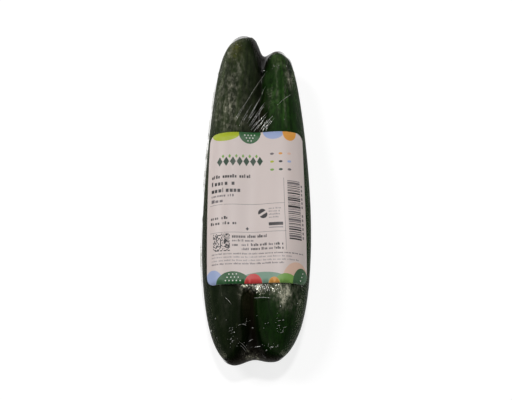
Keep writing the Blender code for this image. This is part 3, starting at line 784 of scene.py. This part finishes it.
clear_film = film_material("clear_film", MOST_MIRROR, FILM_ROUGHNESS)
film = show("film_skin", film_mesh, clear_film)
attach(film, "root")
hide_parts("film")

# The pleats of the film
# Where the film shrank unevenly it gathered into thin standing folds, which are the film's own: a fan of
# them over the groove above the label, a few below it, and short ones at both ends that catch the light.

PLEAT_STEPS = 14
PLEAT_FOOT = 0.15  # the share of its height by which a pleat's edges are sunk in the film
FINEST_PLEATS, FINEST_LOW = 11, 7  # how many, and how many of them start at different heights
EDGE_PLEATS = 7
pleat_draw = random.Random(5)


def film_height(x, y):
    """Height of the film's upper side over each place, in metres."""
    start = np.stack([x, y, np.full_like(x, mid_height)], axis=1)
    upwards = np.tile([0.0, 0.0, 1.0], (len(x), 1))
    return film_surface(start, upwards, FILM_OFF_SKIN)[:, 2]


def pleat(start, end, width, height, sag):
    """Rings of a low fold that swells from nothing and runs out again; its foot is sunk in the film."""
    share = np.linspace(0, 1, PLEAT_STEPS)
    run = np.array(end) - np.array(start)
    side = np.array([-run[1], run[0]]) / np.linalg.norm(run)
    line = np.array(start) + share[:, None] * run + (sag * np.sin(share * math.pi))[:, None] * side
    swell = np.sin(share * math.pi) ** 0.6 + 0.02
    rings = []
    for across, up in ((-0.5, -PLEAT_FOOT), (0.0, 1.0), (0.5, -PLEAT_FOOT)):
        place = (line + side * (across * width * swell)[:, None]) * MM
        top = film_height(place[:, 0], place[:, 1]) + up * height * swell * MM
        rings.append(np.stack([place[:, 0], place[:, 1], top], axis=-1))
    return np.stack(rings, axis=1)


pleats = []
LONG_PLEATS = [  # in millimetres: foot and head, width
    ((-12.5, 43.5), (7.2, 83.4), 0.20),
    ((-4.6, 46.0), (2.2, 60.0), 0.42),
    ((-3.9, 45.6), (3.3, 62.6), 0.30),
    ((3.5, 62.8), (5.9, 69.8), 0.20),
    ((-4.4, 40.6), (5.4, 58.0), 0.34),
    ((-3.6, 40.4), (6.0, 57.2), 0.30),
    ((-3.1, 38.1), (7.2, 51.0), 0.44),
    ((-1.6, 37.4), (4.6, 45.2), 0.50),
    ((0.3, 39.0), (4.6, 44.2), 0.30),
    ((1.7, 37.4), (10.0, 47.8), 0.44),
    ((3.6, 37.4), (7.4, 42.6), 0.30),
    ((5.7, 37.4), (8.8, 45.5), 0.40),
    ((-7.4, 44.0), (-5.0, 49.0), 0.40),
    ((-10.2, 40.3), (-2.0, 57.3), 0.20),
    ((-12.5, 45.5), (-5.4, 58.4), 0.18),
    ((12.4, 54.8), (21.6, 64.6), 0.22),
    ((-1.4, -64.1), (8.2, -64.4), 0.46),
    ((-16.6, -63.4), (-13.0, -67.5), 0.20),
    ((-9.0, -86.4), (-4.6, -90.2), 0.22),
    ((-8.6, -88.0), (-5.6, -90.8), 0.22),
]
for foot, head, width in LONG_PLEATS:
    pleats.append(pleat(foot, head, width, height=0.20, sag=0.3))
for number in range(FINEST_PLEATS):  # the finest pleats of the fan, between the long ones
    x, y = -5.5 + 1.15 * number, 38.4 + pleat_draw.uniform(0, 7) * (number < FINEST_LOW)
    far = pleat_draw.uniform(4.0, 9.0)
    head = (x + 0.62 * far, y + far)
    pleats.append(pleat((x, y), head, pleat_draw.uniform(0.12, 0.22), height=0.16, sag=0.2))
for number in range(EDGE_PLEATS):  # below the label's lower edge
    x = -1.0 + 1.1 * number
    head = (x + 1.8, -59.6 - pleat_draw.uniform(0.0, 2.0))
    pleats.append(pleat((x, -55.8), head, width=0.40, height=0.25, sag=0.1))
GLINTS = [  # short pleats at both ends, in millimetres: across, along, length, degrees round from +X
    (4.6, 83.0, 1.0, 0),
    (11.0, 85.3, 1.0, 10),
    (13.7, 83.6, 0.6, 80),
    (18.8, 86.0, 0.5, 60),
    (9.6, 47.4, 0.6, 60),
    (16.5, 45.3, 0.8, -20),
    (-14.2, -80.0, 1.0, 40),
    (-12.8, -79.9, 0.9, 40),
    (-12.2, -82.0, 0.7, 40),
    (-13.3, -85.6, 1.3, 65),
    (-12.6, -86.8, 1.2, 65),
    (-9.4, -78.4, 1.6, 20),
    (-7.6, -77.6, 2.6, -15),
    (-2.2, -79.7, 1.0, 0),
    (-4.0, -86.4, 2.8, 26),
    (-1.0, -89.2, 3.6, 10),
    (7.2, -89.4, 2.2, 10),
    (11.4, -89.0, 1.0, 80),
    (5.2, -90.8, 0.8, 20),
    (11.4, -76.4, 1.8, 8),
    (13.6, -76.0, 1.4, 5),
    (11.6, -78.8, 1.0, 5),
    (14.2, -80.0, 2.2, 25),
    (13.8, -82.0, 0.8, 30),
    (6.2, -77.8, 0.9, 60),
    (4.6, -77.8, 0.7, 0),
    (3.8, -79.9, 0.6, 0),
    (0.4, -73.8, 0.6, 60),
    (11.3, -72.8, 0.7, 70),
    (12.6, -68.9, 0.9, 20),
    (-20.8, -84.0, 0.6, 80),
    (-21.8, -74.4, 0.9, 60),
    (-24.2, -79.8, 0.6, 80),
    (22.0, -66.5, 0.6, 30),
]
for x, y, length, turn in GLINTS:
    head = (x + length * math.cos(math.radians(turn)), y + length * math.sin(math.radians(turn)))
    pleats.append(pleat((x, y), head, pleat_draw.uniform(0.30, 0.56), height=0.28, sag=0.1))
GLINT_PATCHES = [  # the same, scattered: across, along, half width, half length, how many
    (-13.6, -82.0, 1.8, 5.0, 14),
    (12.6, -78.6, 2.4, 4.0, 12),
    (-4.0, -76.5, 3.0, 1.6, 6),
    (6.0, -88.6, 6.0, 1.2, 9),
    (-8.0, -87.0, 3.0, 2.5, 6),
    (24.6, -54.0, 0.9, 5.0, 7),
    (12.0, 84.5, 4.0, 1.8, 8),
    (-12.0, 98.0, 4.0, 5.0, 6),
]
for x, y, spread_x, spread_y, count in GLINT_PATCHES:
    for _ in range(count):
        at_x, at_y = x + pleat_draw.gauss(0, 0.6) * spread_x, y + pleat_draw.gauss(0, 0.6) * spread_y
        turn, length = math.radians(pleat_draw.uniform(-20, 70)), pleat_draw.uniform(0.3, 0.9)
        head = (at_x + length * math.cos(turn), at_y + length * math.sin(turn))
        pleats.append(pleat((at_x, at_y), head, pleat_draw.uniform(0.16, 0.34), height=0.2, sag=0.0))

pleat_mesh = bpy.data.meshes.new("film_pleats")
pleat_shape = bmesh.new()
for rings in pleats:
    rows = [[pleat_shape.verts.new(Vector(point + pack_shift)) for point in ring] for ring in rings]
    for low, high in zip(rows[:-1], rows[1:]):
        for k in range(3):
            pleat_shape.faces.new((low[k], low[(k + 1) % 3], high[(k + 1) % 3], high[k]))
    pleat_shape.faces.new(rows[0][::-1])
    pleat_shape.faces.new(rows[-1])
bmesh.ops.recalc_face_normals(pleat_shape, faces=pleat_shape.faces)
pleat_shape.to_mesh(pleat_mesh)
pleat_shape.free()
pleat_mesh.shade_smooth()
gathered_film, gathered_shader = new_material("gathered_film")
gathered_shader.inputs["Base Color"].default_value = srgb(236, 236, 232)
gathered_shader.inputs["Metallic"].default_value = 0.85
gathered_shader.inputs["Roughness"].default_value = 0.28
break_noise = stretched_noise(gathered_film, (1.0, 1.0, 1.0), 900.0, 4.0)
broken = stepped(gathered_film, break_noise, 0.35, 0.65, 0.35, 1.0)
join(gathered_film, broken, gathered_shader.inputs["Alpha"])
film_pleats = show("film_pleats", pleat_mesh, gathered_film)
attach(film_pleats, "root")

# The label
# A sheet of coated paper, die-cut with round corners, printed in a few flat inks and glued on over the
# film. It is laid out flat in millimetres, as a printer does it, and wrapped over the film by real length.

LABEL_CORNER, LABEL_THICK, LABEL_GAP = 5.0, 0.25 * MM, 0.3 * MM
LABEL_SHIFT, LABEL_TILT = 0.75 * MM, -0.040  # it is stuck on a little off the middle and askew
CORNER_STEPS, CROSSING_POINTS = 6, 181
GRID_ACROSS, GRID_ALONG = 1.2, 3.0  # the steps of the grid that lets the sheet bend
half_width, half_length = LABEL_WIDTH / MM / 2, LABEL_LENGTH / MM / 2
INKS = {
    "ground": srgb(222, 208, 203),
    "green": srgb(24, 92, 40),
    "dark": srgb(12, 60, 34),
    "lime": srgb(176, 190, 22),
    "leaf": srgb(116, 168, 62),
    "orange": srgb(226, 156, 58),
    "blue": srgb(158, 176, 216),
    "red": srgb(212, 62, 60),
    "peach": srgb(226, 190, 168),
    "white": srgb(240, 238, 232),
    "black": srgb(28, 24, 26),
    "grey": srgb(112, 104, 106),
    "pale_grey": srgb(160, 150, 150),
    "sage": srgb(120, 158, 136),
}
label_draw = random.Random(8)
printed = []  # (ink, outline), the later ones on top


def add_print(ink, outline):
    printed.append((ink, outline))


def add_bar(ink, left, low, width, height):
    add_print(ink, [(left, low), (left + width, low), (left + width, low + height), (left, low + height)])


def add_oval(ink, x, y, wide, high, first=0.0, last=360.0, steps=22):
    """Part of an oval from one angle to another, closed by a straight edge."""
    turns = np.radians(np.linspace(first, last, steps, endpoint=last - first < 360.0))
    add_print(ink, [(x + wide * math.cos(t), y + high * math.sin(t)) for t in turns])


def add_lozenge(ink, x, y, wide, high):
    add_print(ink, [(x + wide, y), (x, y + high), (x - wide, y), (x, y - high)])


def add_writing(ink, left, low, right, height, letter):
    """A line of plain upright blocks in groups, which stands for a line of print."""
    x = left
    while x < right - letter:
        for _ in range(label_draw.randint(3, 8)):
            if x > right - letter:
                break
            tall = height if label_draw.random() < 0.25 else 0.72 * height
            add_bar(ink, x, low, label_draw.choice((0.45, 0.72, 0.72, 0.80)) * letter, tall)
            x += letter
        x += 0.9 * letter


def add_dots(left, low, across, step_across, step_up, size):
    """A triangle of white dots in three rows, each one dot shorter than the last."""
    for row in range(3):
        for column in range(across - row):
            x, y = left + step_across * (column + 0.5 * row), low + step_up * row
            add_oval("white", x, y, size, size, steps=10)


TOP_FIGURES = [  # half ovals that hang from the top edge: ink, place across, half width, height
    ("lime", -18.0, 9.0, 5.6),
    ("green", -3.5, 6.5, 7.6),
    ("blue", 10.5, 6.2, 5.0),
    ("orange", 20.0, 4.2, 6.2),
]
for ink, x, wide, high in TOP_FIGURES:
    add_oval(ink, x, half_length, wide, high, 180.0, 360.0)
add_dots(-6.4, 44.6, 4, 1.9, -1.9, 0.38)
LOZENGES, LOZENGE_STEP = 7, 3.9
for number in range(LOZENGES):
    add_lozenge("dark", -21.0 + LOZENGE_STEP * number, 27.2, 1.75, 3.0)
for number in range(LOZENGES - 1):
    add_lozenge("leaf", -19.05 + LOZENGE_STEP * number, 30.6, 0.8, 1.3)
SPOT_INKS = [("grey", "orange", "peach"), ("lime", "black", "blue"), ("leaf", "dark", "grey")]
for row, inks in enumerate(SPOT_INKS):
    for column, ink in enumerate(inks):
        add_oval(ink, 9.5 + 5.0 * column, 31.6 - 5.2 * row, 1.15, 0.75, steps=12)
add_writing("black", -26.0, 16.6, -1.5, 2.2, 1.40)
add_writing("black", -26.0, 12.0, -10.5, 2.8, 2.05)
add_writing("black", -26.0, 7.6, -7.0, 2.8, 2.20)
add_writing("grey", -26.0, 4.8, -12.0, 1.6, 1.25)
add_writing("grey", -26.0, 1.4, -15.8, 2.0, 2.60)
add_bar("grey", -27.0, -0.1, 43.0, 0.22)
add_writing("black", -26.3, -9.0, -15.2, 1.8, 1.35)
add_writing("black", -26.3, -12.2, -10.4, 1.8, 1.45)
add_lozenge("black", -5.3, -14.8, 0.9, 1.1)
add_oval("black", 3.2, -5.2, 2.3, 2.3, 30.0, 210.0)
add_oval("black", 3.9, -6.4, 2.3, 2.3, 210.0, 390.0)
for number in range(4):
    add_writing("pale_grey", 7.0, -3.4 - 1.8 * number, 14.4 - 0.8 * (number % 2), 0.9, 0.8)
add_bar("black", 6.8, -13.4, 8.0, 1.9)
add_bar("pale_grey", 6.8, -14.9, 8.0, 0.7)
add_bar("grey", -26.6, -17.0, 43.0, 0.22)
add_bar("grey", 15.9, -27.8, 0.22, 43.6)
SQUARE, SQUARES_UP, SQUARES_ACROSS, SQUARES_INKED = 0.6, 17, 16, 0.58
for row in range(SQUARES_UP):
    for column in range(SQUARES_ACROSS):
        if label_draw.random() < SQUARES_INKED:
            add_bar("black", -24.7 + SQUARE * column, -27.9 + SQUARE * row, SQUARE, SQUARE)
add_writing("black", -13.8, -20.2, 6.8, 1.9, 0.95)
add_writing("grey", -13.8, -22.4, -0.6, 1.3, 0.8)
add_writing("black", -13.8, -25.0, -10.0, 1.5, 0.8)
for low, first, first_end, last_end in ((-25.0, -8.6, -4.2, 14.8), (-27.4, -8.5, -3.9, 15.2)):
    add_writing("grey", first, low, first_end, 1.4, 0.8)
    add_writing("black", -3.5, low, 6.0, 1.6, 0.85)
    add_writing("grey", 6.4, low, 9.0, 1.4, 0.8)
    add_writing("black", 9.6, low, last_end, 1.6, 0.85)
for number, right in enumerate((26.5, 19.0, 23.5, 15.2)):
    add_writing("grey" if number in (0, 3) else "pale_grey", -25.6, -29.9 - 1.9 * number, right, 0.95, 0.62)
BARS_FROM, BARS_TO = -21.6, 14.2
low = BARS_FROM
while low < BARS_TO:
    bar = label_draw.choice((0.3, 0.5, 0.5, 0.9, 1.3))
    ink = label_draw.choice(("black", "black", "grey"))
    add_bar(ink, 18.0, low, 7.6, bar)
    low += bar + label_draw.choice((0.3, 0.45, 0.7))
for number in range(13):
    if number != 6:
        add_bar("grey", 26.3, -20.6 + 2.6 * number, 0.95, 1.5)
BOTTOM_FIGURES = [  # half ovals that stand on the bottom edge, the later ones in front
    ("blue", -25.0, 6.5, 8.2),
    ("peach", 22.0, 9.0, 12.0),
    ("sage", 3.0, 15.0, 6.4),
    ("green", -13.5, 9.5, 7.0),
    ("leaf", 15.5, 6.5, 5.4),
    ("green", 25.0, 6.0, 9.0),
    ("red", -2.5, 4.8, 5.6),
    ("orange", 8.8, 3.0, 3.4),
]
for ink, x, wide, high in BOTTOM_FIGURES:
    add_oval(ink, x, -half_length, wide, high, 0.0, 180.0)
add_dots(-17.6, -44.6, 5, 2.0, 1.8, 0.36)
for row in range(3):
    add_oval("white", 24.0 + 0.9 * row, -44.4 + 2.1 * row, 0.36, 0.36, steps=10)
add_bar("ground", -19.0, -28.4, 0.5, 44.0)  # a worn spot of the printing head leaves one line bare


def label_outline():
    """The die-cut edge, anticlockwise, with its four round corners."""
    outline = []
    for corner, (sx, sy) in enumerate(((1, -1), (1, 1), (-1, 1), (-1, -1))):
        for step in range(CORNER_STEPS + 1):
            turn = math.radians(-90 + 90 * corner + 90 / CORNER_STEPS * step)
            x = sx * (half_width - LABEL_CORNER) + LABEL_CORNER * math.cos(turn)
            y = sy * (half_length - LABEL_CORNER) + LABEL_CORNER * math.sin(turn)
            outline.append((x, y))
    return outline


def film_crossing(y, gap):
    """Points across the top of the film at y, from left to right, and their real distance along it."""
    turn = np.linspace(math.pi, 0, CROSSING_POINTS)
    start = np.tile([float(groove_line(y)), y, mid_height], (len(turn), 1))
    direction = np.stack([np.cos(turn), np.zeros_like(turn), np.sin(turn)], axis=1)
    line = film_surface(start, direction, gap)
    along = np.concatenate([[0], np.cumsum(np.linalg.norm(np.diff(line, axis=0), axis=1))])
    middle = np.interp(float(groove_line(y)), line[:, 0], along)
    return line, along - middle


label_rows = np.arange(-half_length - 1, half_length + 2)
face_off_skin = FILM_OFF_SKIN + LABEL_GAP + LABEL_THICK
crossings = [film_crossing(LABEL_MIDDLE_Y + v * MM, face_off_skin) for v in label_rows]


def wrapped(u, v):
    """Where a point of the flat sheet comes to lie on the pack."""
    across = LABEL_SHIFT + LABEL_TILT * v * MM + u * MM
    row = min(int(v - label_rows[0]), len(label_rows) - 2)
    share = v - label_rows[row]
    ends = [
        np.array([np.interp(across, along, line[:, axis]) for axis in range(3)])
        for line, along in crossings[row:row + 2]
    ]
    return ends[0] * (1 - share) + ends[1] * share + pack_shift


sheet_points, sheet_lines, sheet_shapes = [], [], []
for outline in [label_outline()] + [inked for _, inked in printed]:
    sheet_shapes.append(list(range(len(sheet_points), len(sheet_points) + len(outline))))
    sheet_points += outline
for u in np.arange(-half_width + GRID_ACROSS, half_width, GRID_ACROSS):
    sheet_lines.append((len(sheet_points), len(sheet_points) + 1))
    sheet_points += [(u, -half_length), (u, half_length)]
for v in np.arange(-half_length + GRID_ALONG, half_length, GRID_ALONG):
    sheet_lines.append((len(sheet_points), len(sheet_points) + 1))
    sheet_points += [(-half_width, v), (half_width, v)]
flat = [Vector(point) for point in sheet_points]
points, _, faces, _, _, sources = delaunay_2d_cdt(flat, sheet_lines, sheet_shapes, 0, 1e-4)
kept = [(face, max(source)) for face, source in zip(faces, sources) if 0 in source]
label_mesh = bpy.data.meshes.new("label_sheet")
used = sorted({k for face, _ in kept for k in face})
renumbered = {k: number for number, k in enumerate(used)}
label_mesh.from_pydata(
    [wrapped(min(max(points[k].x, -half_width), half_width), points[k].y) for k in used],
    [],
    [[renumbered[k] for k in face] for face, _ in kept],
)
ink_layer = label_mesh.attributes.new("ink", "FLOAT_COLOR", "CORNER")
ink_names = ["ground"] + [ink for ink, _ in printed]
ink_layer.data.foreach_set(
    "color", np.array([INKS[ink_names[top]] for face, top in kept for _ in face], dtype=np.float32).ravel()
)
label_mesh.shade_smooth()

printed_paper, paper_shader = new_material("printed_paper")
ink_colour = node(printed_paper, "Attribute", {}, attribute_name="ink").outputs["Color"]
fleck_noise = stretched_noise(printed_paper, (1.0, 1.0, 1.0), 900.0, 3.0)
flecks = stepped(printed_paper, fleck_noise, 0.70, 0.78, 0.0, 0.35)
flecked = mixed(printed_paper, flecks, ink_colour, srgb(150, 136, 130))
tone_noise = stretched_noise(printed_paper, (1.0, 0.6, 1.0), 60.0, 3.0)
uneven = stepped(printed_paper, tone_noise, 0.3, 0.7, 0.0, 0.10)
paper_colour = mixed(printed_paper, uneven, flecked, srgb(198, 186, 186))
join(printed_paper, paper_colour, paper_shader.inputs["Base Color"])
fibres = stretched_noise(printed_paper, (1.0, 1.0, 1.0), 1400.0, 5.0, 0.7)
paper_bump = node(printed_paper, "Bump", {"Height": fibres, "Strength": 0.12, "Distance": 0.05 * MM})
join(printed_paper, paper_bump.outputs["Normal"], paper_shader.inputs["Normal"])
paper_shader.inputs["Roughness"].default_value = 0.42
paper_shader.inputs["Specular IOR Level"].default_value = 0.4
bare_paper, bare_shader = new_material("bare_paper")
bare_shader.inputs["Base Color"].default_value = srgb(226, 222, 216)
bare_shader.inputs["Roughness"].default_value = 0.8
pulp = stretched_noise(bare_paper, (1.0, 1.0, 1.0), 1800.0, 4.0)
pulp_bump = node(bare_paper, "Bump", {"Height": pulp, "Strength": 0.2, "Distance": 0.05 * MM})
join(bare_paper, pulp_bump.outputs["Normal"], bare_shader.inputs["Normal"])
label = show("label_sheet", label_mesh, printed_paper, bare_paper)
paper = label.modifiers.new("paper", "SOLIDIFY")
paper.thickness = LABEL_THICK
paper.offset = -1.0
paper.material_offset = 1
paper.material_offset_rim = 1
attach(label, "root")
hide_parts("label")

# The table, the light and the camera
# A plain near-white table under soft studio light, with dark surroundings that leave the film clear. The
# camera looks down at the pack from its blossom end.

CAMERA_ELEVATION = math.radians(66)
CAMERA_DISTANCE = 430.0 * MM
CAMERA_TARGET_HEIGHT = 15.0 * MM
CAMERA_FOCUS_PIXELS = 731.0  # for a picture 512 pixels wide
PICTURE_WIDTH = 512.0
TABLE_SIZE = 6.0
TABLE_BELOW = 0.2 * MM

table_mesh = bpy.data.meshes.new("table_top")
table_shape = bmesh.new()
bmesh.ops.create_grid(table_shape, x_segments=1, y_segments=1, size=TABLE_SIZE / 2)
table_shape.to_mesh(table_mesh)
table_shape.free()
table_paint, table_shader = new_material("table_paint")
table_shader.inputs["Base Color"].default_value = (0.34, 0.34, 0.34, 1.0)
table_shader.inputs["Roughness"].default_value = 0.9
table_shader.inputs["Specular IOR Level"].default_value = 0.1
table_shader.inputs["Emission Color"].default_value = (1.0, 1.0, 1.0, 1.0)
table_shader.inputs["Emission Strength"].default_value = 0.80
table_top = show("table_top", table_mesh, table_paint)
table_top.location = (0, 0, -TABLE_BELOW)


def softbox(name, place, target, wide, high, power):
    """A rectangular soft light at a place, turned to a target."""
    data = bpy.data.lights.new(name, "AREA")
    data.shape = "RECTANGLE"
    data.size = wide
    data.size_y = high
    data.energy = power
    lamp = bpy.data.objects.new(name, data)
    bpy.context.scene.collection.objects.link(lamp)
    lamp.location = place
    lamp.rotation_euler = (Vector(target) - Vector(place)).to_track_quat("-Z", "Y").to_euler()
    return lamp


softbox("ceiling_softbox", (0.02, 0.50, 1.60), (0, 0, 0), 0.18, 0.18, 9.5)
softbox("left_softbox", (-1.05, 0.50, 1.25), (0, 0, 0), 0.5, 0.5, 11.0)
softbox("right_softbox", (1.6, 0.9, 0.9), (0, 0, 0), 0.5, 0.5, 2.5)

world = bpy.data.worlds.new("studio")
bpy.context.scene.world = world
world.use_nodes = True
world.node_tree.nodes["Background"].inputs["Color"].default_value = (1.0, 1.0, 1.0, 1.0)
world.node_tree.nodes["Background"].inputs["Strength"].default_value = 0.10
bpy.context.scene.view_settings.view_transform = "Standard"

lens = bpy.data.cameras.new("camera")
lens.sensor_width = 36.0
lens.lens = lens.sensor_width * CAMERA_FOCUS_PIXELS / PICTURE_WIDTH
camera = bpy.data.objects.new("camera", lens)
bpy.context.scene.collection.objects.link(camera)
looking = Vector((0, math.cos(CAMERA_ELEVATION), -math.sin(CAMERA_ELEVATION)))
camera.location = Vector((0, 0, CAMERA_TARGET_HEIGHT)) - CAMERA_DISTANCE * looking + Vector(pack_shift)
camera.rotation_euler = looking.to_track_quat("-Z", "Y").to_euler()
bpy.context.scene.camera = camera

bpy.context.view_layer.update()
